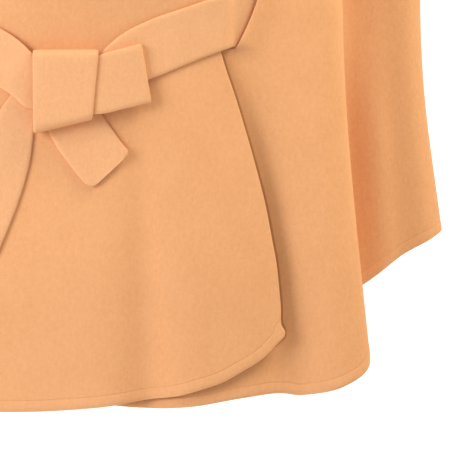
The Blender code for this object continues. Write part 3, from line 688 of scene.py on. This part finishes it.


# The wool's tones, and those that the painted shade in its groove, the painted highlight on its rims and
#  the painted shade beside the edge on it draw it towards
DEEP_TONE = (0.700, 0.304, 0.123)
PALE_TONE = (0.930, 0.473, 0.232)
GROOVE_SHADE_TONE = (0.52, 0.20, 0.075)
EDGE_HIGHLIGHT_TONE = (0.95, 0.54, 0.30)
SOFT_SHADE = (0.40, 0.12, 0.030)
DEEP_SHADE = (0.24, 0.075, 0.018)
BELT_LIGHT_TINT = (1.025, 1.075, 1.15)  # the doubled belt catches a little more light, so its wool is painted lighter
SHEEN_TINT = (1.0, 0.82, 0.62, 1)


def wool(name, tint=(1.0, 1.0, 1.0)):
    """Matte double-faced wool: a fine brushed nap, a sewn groove inside the hem with painted shade in it, a
    painted highlight on its rims and on the strip outside the groove, and painted shade beside the edge that
    lies on it."""
    paint = Paint(name)
    nap = paint.noise(scale=900, detail=4, rough=0.65)
    tuft = paint.noise(scale=260, detail=3, rough=0.6, distort=0.6)
    cloud = paint.noise(scale=22, detail=3, rough=0.55)
    fibre = paint.noise(scale=420, detail=2, rough=0.6, stretch=(1.0, 1.0, 0.28))
    # how much each pattern changes the tone
    tone = (nap - 0.5) * 0.50 + (tuft - 0.5) * 0.50 + (cloud - 0.5) * 0.26 + (fibre - 0.5) * 0.30
    deep, pale = ([c * share for c, share in zip(colour, tint)] for colour in (DEEP_TONE, PALE_TONE))
    colour = paint.mix((tone + 0.5).clamped(), deep, pale)
    hem = paint.attribute("hem") + (tuft - 0.5) * 0.0012
    groove = hem.bell(HEM_STITCH, 0.0009)
    outside = hem.math("LESS_THAN", HEM_STITCH)
    rim = paint.attribute("rim").bell(0.0, 0.0016)
    under = paint.attribute("under")
    # painted shade in the sewn groove inside the hem
    colour = paint.mix(groove * 0.10, colour, GROOVE_SHADE_TONE)
    # painted highlight on the plumper strip outside the groove and on the rims
    colour = paint.mix(outside * 0.05, colour, EDGE_HIGHLIGHT_TONE)
    colour = paint.mix(rim * 0.14, colour, EDGE_HIGHLIGHT_TONE)
    # painted shade beside the top front's free edge: a soft band, and a thin dark line right at the edge
    colour = paint.mix(under.within(reach=0.0220, run=0.0200) * 0.21, colour, SOFT_SHADE)
    colour = paint.mix(under.within(reach=0.0030, run=0.0016) * 0.52, colour, DEEP_SHADE)
    height = nap * 0.35 + tuft * 0.5 + fibre * 0.35 - groove
    bump = paint.node("ShaderNodeBump", {"Height": height, "Strength": 0.5, "Distance": 0.0007})
    return paint.finish({
        "Base Color": colour,
        "Roughness": (nap - 0.5) * 0.1 + 0.93,
        "Normal": Value(paint.tree, bump.outputs[0]),
        "Sheen Weight": 0.08,
        "Sheen Roughness": 0.5,
        "Sheen Tint": SHEEN_TINT,
        "Specular IOR Level": 0.08,
    })


CLOTH = wool("wool_nap")
# the belt's wool, painted lighter for the light that the doubled belt catches
BELT_CLOTH = wool("wool_belt", BELT_LIGHT_TINT)


def edge_shade(points):
    """How far the under front's points are from the top front's free edge as the camera sees it on them, for
    the shade painted beside it: below 0 where the top front covers them, and far above the belt, where the
    fronts part."""
    line = [*TOP_CORNER[::-1], *EDGE[1:]]
    a, t = find([x for x, _ in line], [z for _, z in line])
    middle, out = surface(a, t), outward(a, t)
    lie = (under_off(a, t) + folded(middle, TOP_FOLDS + UNDER_FOLDS))[:, None]
    stand = (top_off(-a, t) + folded(middle, TOP_FOLDS))[:, None]
    # the edge stands a little off the under front, so it is moved onto it along the line of sight
    edge = middle + out * (stand + tucked(a, middle[:, 2])[:, None])
    edge = along(edge - SIGHT * (stand - lie) / (out @ SIGHT)[:, None], np.linspace(0, 1, 120))
    low, high = edge[: edge[:, 0].argmax() + 1], edge[edge[:, 0].argmax() :]
    covered = points[:, 2] > np.interp(points[:, 0], low[:, 0], low[:, 2])
    covered &= points[:, 0] < np.interp(points[:, 2], high[:, 2], high[:, 0])
    away = distance(points, edge) * np.where(covered, -1, 1)
    away += LINE_THINNER * (1 - smooth(*LINE_THINS, points[:, 2]))
    return away + 2 * FAR * smooth(*FRONTS_PART, points[:, 2])


def front(top):
    """A front, cut through at its slit, where two columns of points lie side by side."""
    own, t = front_grid(top)
    around = own * (-1 if top else 1)
    points, normals = surface(around, t), outward(around, t)
    if top:
        off = top_off(own, t) + folded(points, TOP_FOLDS) + tucked(own, points[..., 2])
    else:
        off = under_off(own, t) + folded(points, TOP_FOLDS + UNDER_FOLDS) + tucked(own, points[..., 2])
        off += folded(points, FAR_FOLDS) * smooth(*FAR_SPAN[:2], own) * (1 - smooth(*FAR_SPAN[2:], own))
    # beside the slit, the cloth on the free edge's side is pushed in and that on the seam's side out
    rows, columns = own.shape
    sign = np.where(np.arange(columns) < COLUMNS_IN, -1, 1)
    push = lip(points[..., 0], points[..., 2], sign) * smooth(5, 12, own)
    inner_push = lip(points[..., 0], points[..., 2], -1)[:, COLUMNS_IN]
    apart = unit(points[:, COLUMNS_IN + 1] - points[:, COLUMNS_IN - 1]) * SLIT_OPEN
    depth = (off[:, COLUMNS_IN] + inner_push)[:, None]
    inner_lip = points[:, COLUMNS_IN] + normals[:, COLUMNS_IN] * depth - apart
    points = points + normals * (off + push)[..., None]
    points[SLIT_CUT, COLUMNS_IN] += apart[SLIT_CUT]
    points[:, -1] += unit(points[:, -2] - points[:, -1]) * SEAM_GAP
    corner = points[:, 0][points[:, 0, 2] < STITCHED_BELOW]
    stitched = np.concatenate([corner[::-1], points[0, 1:]])
    hem = distance(points.reshape(-1, 3), stitched).reshape(rows, columns)
    vertices = np.concatenate([points.reshape(-1, 3), inner_lip[SLIT_CUT]])
    faces = quads(rows, columns)
    twin = {int(row): rows * columns + k for k, row in enumerate(SLIT_CUT)}
    for i in range(rows - 1):
        at = i * (columns - 1) + COLUMNS_IN - 1
        a, b, c, d = faces[at]
        faces[at] = (a, twin.get(i, b), twin.get(i + 1, c), d)
    return shell(
        "right_front" if top else "left_front",
        vertices,
        np.concatenate([normals.reshape(-1, 3), normals[SLIT_CUT, COLUMNS_IN]]),
        faces,
        WALL,
        CLOTH,
        hem=np.concatenate([hem.ravel(), hem[SLIT_CUT, COLUMNS_IN]]),
        under=None if top else edge_shade(vertices),
    )


def sheet_shell(node, p, n):
    """A wall from a grid of points and normals, whose last row is its hem."""
    hem = distance(p.reshape(-1, 3), p[-1])
    return shell(node, p.reshape(-1, 3), n.reshape(-1, 3), quads(*p.shape[:2]), WALL, CLOTH, hem)


def back():
    """The back panel, from side seam to side seam."""
    around, t = np.meshgrid(90 + 180 * np.linspace(0, 1, 121), 1 - steps(70, 0.15, 1.0, 1.0)[::-1])
    p, n = surface(around, t), outward(around, t)
    p[:, -1] += unit(p[:, -2] - p[:, -1]) * SEAM_GAP
    p[:, 0] += unit(p[:, 1] - p[:, 0]) * SEAM_GAP
    return sheet_shell("back", p, n)


COLLAR_ROWS = (6, 9, 16)  # of the stand, the roll and the fall
COLLAR_COLUMNS = (45, 41)  # along a front, and from there to the centre back
COLLAR_FROM = 1.5  # degrees from the break to the collar's end
STAND_SPAN, ROLL_SPAN = (46, 118), (40, 110)  # degrees over which the stand and the roll grow


def collar_half(top, own):
    """Rows of points and normals of half the collar, from its seam up the stand, over the roll and down."""
    stand_rows, roll_rows, fall_rows = COLLAR_ROWS
    around = own * (-1 if top else 1)
    stand_off = top_off if top else under_off
    seam = seam_t(own)
    off = stand_off(own, seam)
    outer = np.concatenate([np.stack(past_centre(COLLAR_EDGE), axis=1), np.array(COLLAR_BACK, float)])
    edge = spline(outer[:, 0], outer[:, 1], own)
    speed = np.linalg.norm(surface(around, seam + 1e-3) - surface(around, seam - 1e-3), axis=1) / 2e-3
    high = FRONT_STAND + (STAND - FRONT_STAND) * smooth(*STAND_SPAN, own)
    radius = COLLAR_ROLL + (NECK_ROLL - COLLAR_ROLL) * smooth(*ROLL_SPAN, own)
    roll = seam - high / speed
    rows, normals = [], []
    for k in range(stand_rows):
        t = seam + (roll - seam) * k / stand_rows
        n = outward(around, t)
        gap = down(around, t) * (-SEAM_GAP * 1.5 if k == 0 else 0)
        rows.append(surface(around, t) + gap + n * off[:, None])
        normals.append(n)
    n0, d0, p0 = outward(around, roll), down(around, roll), surface(around, roll)
    for turn in math.pi * np.arange(roll_rows) / (roll_rows - 1):
        out = off + radius * (1 - math.cos(turn))
        rows.append(p0 - d0 * (radius * math.sin(turn))[:, None] + n0 * out[:, None])
        normals.append(n0 * math.cos(turn) + d0 * math.sin(turn))
    for w in steps(fall_rows, 0.5, 1.2, 0.35)[1:]:
        t = roll + (edge - roll) * w
        n = outward(around, t)
        lie = 2 * radius + (2 * COLLAR_ROLL - 2 * radius) * w
        rows.append(surface(around, t) + n * (stand_off(own, t) + lie)[:, None])
        normals.append(-n)
    return np.stack(rows), np.stack(normals)


def collar():
    """The shawl collar, in one piece round the back neck."""
    start = float(past_centre(ROLL[:1])[0][0]) + COLLAR_FROM
    on_front, on_back = (np.linspace(0, 1, columns) for columns in COLLAR_COLUMNS)
    own = np.concatenate([start + (NECK_AT - start) * on_front, (NECK_AT + (180 - NECK_AT) * on_back)[1:]])
    left, left_n = collar_half(False, own)
    right, right_n = collar_half(True, own)
    p = np.concatenate([left, right[:, ::-1][:, 1:]], axis=1)
    n = np.concatenate([left_n, right_n[:, ::-1][:, 1:]], axis=1)
    return sheet_shell("shawl_collar", p, n)


# The belt's outer strand, a row for each cross line: upper x and z, lower x and z, height off the panel
STRAND = (
    (0.002, -0.3960, 0.002, -0.4440, 0.0102),
    (0.020, -0.3935, 0.026, -0.4450, 0.0103),
    (0.0335, -0.3852, 0.045, -0.4400, 0.0101),
    (0.0450, -0.3735, 0.057, -0.4290, 0.0085),
    (0.0605, -0.3614, 0.0755, -0.4170, 0.0064),
    (0.0900, -0.3466, 0.1060, -0.4050, 0.0042),
    (0.1280, -0.3335, 0.1390, -0.3915, 0.0038),
    (0.1530, -0.3250, 0.1630, -0.3828, 0.0038),
    (0.1810, -0.3170, 0.1745, -0.3792, 0.0034),
    (0.2100, -0.3105, 0.1868, -0.3772, 0.0000),
    (0.2360, -0.3080, 0.2140, -0.3730, -0.0042),
)
# The belt's inner stretch, half of it: x, y, middle z, width
INNER = (
    (0.2420, -0.0560, -0.3370, 0.058),
    (0.2470, -0.0150, -0.3360, 0.060),
    (0.2300, 0.0420, -0.3350, 0.060),
    (0.1720, 0.0880, -0.3350, 0.060),
    (0.0900, 0.1090, -0.3350, 0.060),
    (0.0000, 0.1140, -0.3350, 0.060),
)
# The knot's wrap: its sides' x, its head's and foot's z, the foot's slant, and its two walls' heights off the
# top front
WRAP_LEFT = -0.0355
WRAP_RIGHT = (0.0336, 0.0268)  # at the head and at the foot
WRAP_HEAD, WRAP_FOOT = -0.3800, -0.4590
WRAP_SLANT = 0.24
WRAP_BACK, WRAP_FRONT = 0.0065, 0.0217
# The folded half bow: share of its length, upper x and z, lower x and z, back wall and front wall heights
BOW = (
    (0.0, 0.0100, -0.3950, 0.0060, -0.4400, 0.0138, 0.0176),
    (0.2, 0.0250, -0.3890, 0.0180, -0.4450, 0.0138, 0.0176),
    (0.4, 0.0380, -0.3830, 0.0330, -0.4480, 0.0137, 0.0178),
    (0.7, 0.0580, -0.3778, 0.0610, -0.4425, 0.0104, 0.0150),
    (1.0, 0.0762, -0.3732, 0.0862, -0.4365, 0.0082, 0.0122),
)
# The belt's ends: share of its length, one side's x and z, the other side's x and z, height off the panel
TAIL_RIGHT = (
    (0.0, -0.0130, -0.4390, 0.0240, -0.4300, 0.0031),
    (0.25, -0.0235, -0.4560, 0.0335, -0.4430, 0.0031),
    (0.5, -0.0140, -0.4790, 0.0460, -0.4610, 0.0034),
    (0.75, 0.0000, -0.5000, 0.0580, -0.4790, 0.0042),
    (1.0, 0.0245, -0.5310, 0.0680, -0.4905, 0.0048),
)
TAIL_LEFT = (
    (0.0, -0.0130, -0.4200, -0.0160, -0.3920, 0.0031),
    (0.2, -0.0310, -0.4490, -0.0430, -0.4080, 0.0031),
    (0.45, -0.0400, -0.5000, -0.0820, -0.4600, 0.0034),
    (0.75, -0.0560, -0.5520, -0.1060, -0.5200, 0.0040),
    (1.0, -0.0780, -0.6050, -0.1240, -0.5650, 0.0046),
)
ACROSS = np.linspace(0, 1, 15)  # shares of the belt's width that carry points
STRAND_ROWS, INNER_ROWS, LOOP_ROWS, TAIL_ROWS = 73, 61, 33, 40
WRAP_COLUMNS = 25
WRAP_FRONT_STEPS, WRAP_STEPS = 18, 12  # down the wrap's front wall, and along each other side of it
SLIT_EDGE = (0.168, 0.186)  # x between which the strand leaves the top front for the under one


def on_front(x, z, lift, side):
    """Points at x and z (x mirrored for side -1), lifted off the front that lies there."""
    a, t = find(x, z)
    if side > 0:
        over = 1 - smooth(*SLIT_EDGE, x)
        off = over * top_off(-a, t) + (1 - over) * under_off(a, t)
    else:
        off = top_off(a, t)
    return surface(a * side, t) + outward(a * side, t) * (off + lift)[..., None]


def on_top(x, z, lift):
    """Points over the top front near the knot."""
    a, t = find(x, z)
    return surface(a, t) + outward(a, t) * (top_off(-a, t) + lift)[..., None]


def crossing(row, shares):
    """x and z at shares of the way between the two points that a row starts with."""
    first, run = row[..., 0:2], row[..., 2:4] - row[..., 0:2]
    return tuple(first[..., k : k + 1] + run[..., k : k + 1] * shares for k in (0, 1))


def doubled(node, p, ring=False):
    """A belt piece from its grid of middle points."""
    if ring:
        lengthwise = unit(np.roll(p, -1, axis=0) - np.roll(p, 1, axis=0))
    else:
        lengthwise = np.gradient(p, axis=0)
    n = unit(np.cross(lengthwise, np.gradient(p, axis=1))).reshape(-1, 3)
    return shell(node, p.reshape(-1, 3), n, quads(*p.shape[:2], ring), BELT_WALL, BELT_CLOTH)


def belt_half(side):
    """Half the belt: outside from the knot to the slit, then inside round to the centre back."""
    rows = np.array(STRAND)
    knots = np.concatenate([[0], np.cumsum(np.hypot(*np.diff((rows[:, :2] + rows[:, 2:4]) / 2, axis=0).T))])
    rows = spline(knots, rows, knots[-1] * np.linspace(0, 1, STRAND_ROWS))
    strand = on_front(*crossing(rows, ACROSS), rows[:, 4:5], side)
    inner = np.array([
        [(x * side, y, z + width * (0.5 - share)) for share in ACROSS]
        for x, y, z, width in INNER
    ])
    lead = np.concatenate([strand[-6:-5], strand[-1:], inner])
    knots = np.concatenate([[0], np.cumsum(np.linalg.norm(np.diff(lead.mean(axis=1), axis=0), axis=1))])
    more = spline(knots, lead, knots[1] + (knots[-1] - knots[1]) * np.linspace(0, 1, INNER_ROWS)[1:])
    return np.concatenate([strand, more])


def belt_band():
    """The belt from the knot round the back inside and to the knot again."""
    return doubled("belt_band", np.concatenate([belt_half(-1), belt_half(1)[::-1][1:]]))


def belt_wrap():
    """The flat ring round the knot: down its front wall, round its foot, up its back wall, round its head."""
    middle, half = (WRAP_BACK + WRAP_FRONT) / 2, (WRAP_FRONT - WRAP_BACK) / 2
    inset = half * 0.9
    head, foot = WRAP_HEAD - inset, WRAP_FOOT + inset
    turns = math.pi * np.arange(1, WRAP_STEPS) / WRAP_STEPS
    ring = [(head + (foot - head) * k / WRAP_FRONT_STEPS, WRAP_FRONT) for k in range(WRAP_FRONT_STEPS + 1)]
    ring += [(foot - inset * math.sin(turn), middle + half * math.cos(turn)) for turn in turns]
    ring += [(foot + (head - foot) * k / WRAP_STEPS, WRAP_BACK) for k in range(WRAP_STEPS + 1)]
    ring += [(head + inset * math.sin(turn), middle - half * math.cos(turn)) for turn in turns]
    rows = []
    for z, lift in ring:
        share = (WRAP_HEAD - z) / (WRAP_HEAD - WRAP_FOOT)
        x = np.linspace(WRAP_LEFT, WRAP_RIGHT[0] + (WRAP_RIGHT[1] - WRAP_RIGHT[0]) * share, WRAP_COLUMNS)
        rows.append(on_top(x, z + WRAP_SLANT * share * x, lift))
    return doubled("belt_wrap", np.array(rows), ring=True)


def belt_loop():
    """The folded half bow: along its front wall, round its fold and back along its back wall."""
    rows = np.array(BOW)
    rows = spline(rows[:, 0], rows, np.linspace(0, 1, LOOP_ROWS))

    def line(row, lift, push=0.0):
        x, z = crossing(row[1:5], ACROSS)
        return on_top(x + push, z, lift)

    end = rows[-1]
    middle, half = (end[5] + end[6]) / 2, (end[6] - end[5]) / 2
    p = [line(row, row[6]) for row in rows]
    for turn in math.pi * np.arange(1, 11) / 11:
        p.append(line(end, middle + half * math.cos(turn), half * math.sin(turn)))
    p += [line(row, row[5]) for row in rows[::-1]]
    return doubled("belt_loop", np.array(p)[:, ::-1])


def belt_tail(node, table):
    """A free end of the belt, flat on the top front, with rounded corners."""
    rows = np.array(table)
    long = float(np.sum(np.linalg.norm(np.diff((rows[:, 1:3] + rows[:, 3:5]) / 2, axis=0), axis=1)))
    wide = float(np.linalg.norm(rows[-1, 3:5] - rows[-1, 1:3]))
    left = TAIL_ROUND * (1 - np.sin(np.linspace(0, math.pi / 2, 13)))
    shares = np.concatenate([np.linspace(0, 1 - TAIL_ROUND / long, TAIL_ROWS), (1 - left / long)[1:]])
    p = []
    for share, row in zip(shares, spline(rows[:, 0], rows, shares)):
        past = max(0.0, TAIL_ROUND - (1 - share) * long)
        inset = (TAIL_ROUND - math.sqrt(max(TAIL_ROUND**2 - past**2, 0.0))) / wide
        p.append(on_top(*crossing(row[1:5], inset + (1 - 2 * inset) * ACROSS), row[5]))
    return doubled(node, np.array(p))


made = {
    "back": back(),
    "right_front": front(True),
    "left_front": front(False),
    "shawl_collar": collar(),
    "belt_band": belt_band(),
    "belt_wrap": belt_wrap(),
    "belt_loop": belt_loop(),
    "belt_tail_right": belt_tail("belt_tail_right", TAIL_RIGHT),
    "belt_tail_left": belt_tail("belt_tail_left", TAIL_LEFT),
}

# The studio: each lamp's name, place, size, power in watts and colour
LAMPS = (
    ("right_key", (1.20, -0.50, 1.14), 0.8, 28, (1.0, 0.97, 0.80)),
    ("right_rim", (2.02, 0.23, 0.02), 0.9, 9, (1.0, 0.94, 0.74)),
    ("left_key", (-1.45, -1.30, 0.05), 0.9, 29.5, (0.96, 0.99, 1.02)),
)
LAMP_AIM = (0.12, -0.1, -0.5)
AIR_TONE, AIR_STRENGTH = (0.97, 0.97, 0.93, 1), 0.40
FLOOR_Z = -1.4
FLOOR_SIDE, FLOOR_NEAR, FLOOR_BACK = 30, -12, 48
PAPER_TONE = (0.93, 0.93, 0.93, 1)
GLOW_NEAR, GLOW_FAR = (0.10, 0.10, 0.10), (1, 1, 1)  # the paper glows so that it is white behind the garment
GLOW_FROM, GLOW_RUN = 1.0, 2.0  # y from which the glow grows, and over how far
CAMERA_AT = (0.0, -3.15, -0.24)
CAMERA_AIM = (0.174, -0.15, -0.572)
CAMERA_LENS, CAMERA_SENSOR = 220, 36


def turned(place, aim):
    """The turn that points a lamp or the camera from a place at its aim."""
    return (Vector(aim) - Vector(place)).to_track_quat("-Z", "Y").to_euler()


def lamp(name, place, size, power, colour):
    data = bpy.data.lights.new(name, "AREA")
    data.shape = "SQUARE"
    data.size = size
    data.energy = power
    data.color = colour
    o = add(name, data)
    o.location = place
    o.rotation_euler = turned(place, LAMP_AIM)


def paper():
    """The white paper of the floor, which runs far back."""
    paint = Paint("paper")
    axes = paint.node("ShaderNodeSeparateXYZ", {"Vector": paint.place})
    far = ((Value(paint.tree, axes.outputs["Y"]) - GLOW_FROM) / GLOW_RUN).clamped()
    return paint.finish({
        "Base Color": PAPER_TONE,
        "Roughness": 0.9,
        "Emission Color": paint.mix(far, GLOW_NEAR, GLOW_FAR),
        "Emission Strength": 0.8,
    })


scene = bpy.context.scene
scene.view_settings.view_transform = "Standard"
scene.view_settings.look = "None"
scene.world = bpy.data.worlds.new("studio")
scene.world.use_nodes = True
air = scene.world.node_tree.nodes["Background"]
air.inputs["Color"].default_value = AIR_TONE
air.inputs["Strength"].default_value = AIR_STRENGTH
for row in LAMPS:
    lamp(*row)

floor_mesh = bpy.data.meshes.new("floor")
floor_corners = [
    (-FLOOR_SIDE, FLOOR_NEAR, FLOOR_Z),
    (FLOOR_SIDE, FLOOR_NEAR, FLOOR_Z),
    (FLOOR_SIDE, FLOOR_BACK, FLOOR_Z),
    (-FLOOR_SIDE, FLOOR_BACK, FLOOR_Z),
]
floor_mesh.from_pydata(floor_corners, [], [(0, 1, 2, 3)])
floor_mesh.materials.append(paper())
floor = add("floor", floor_mesh)

camera_data = bpy.data.cameras.new("camera")
camera_data.sensor_width = CAMERA_SENSOR
camera_data.lens = CAMERA_LENS
camera_data.clip_end = 200
camera = add("camera", camera_data)
camera.location = CAMERA_AT
camera.rotation_euler = turned(CAMERA_AT, CAMERA_AIM)
scene.camera = camera
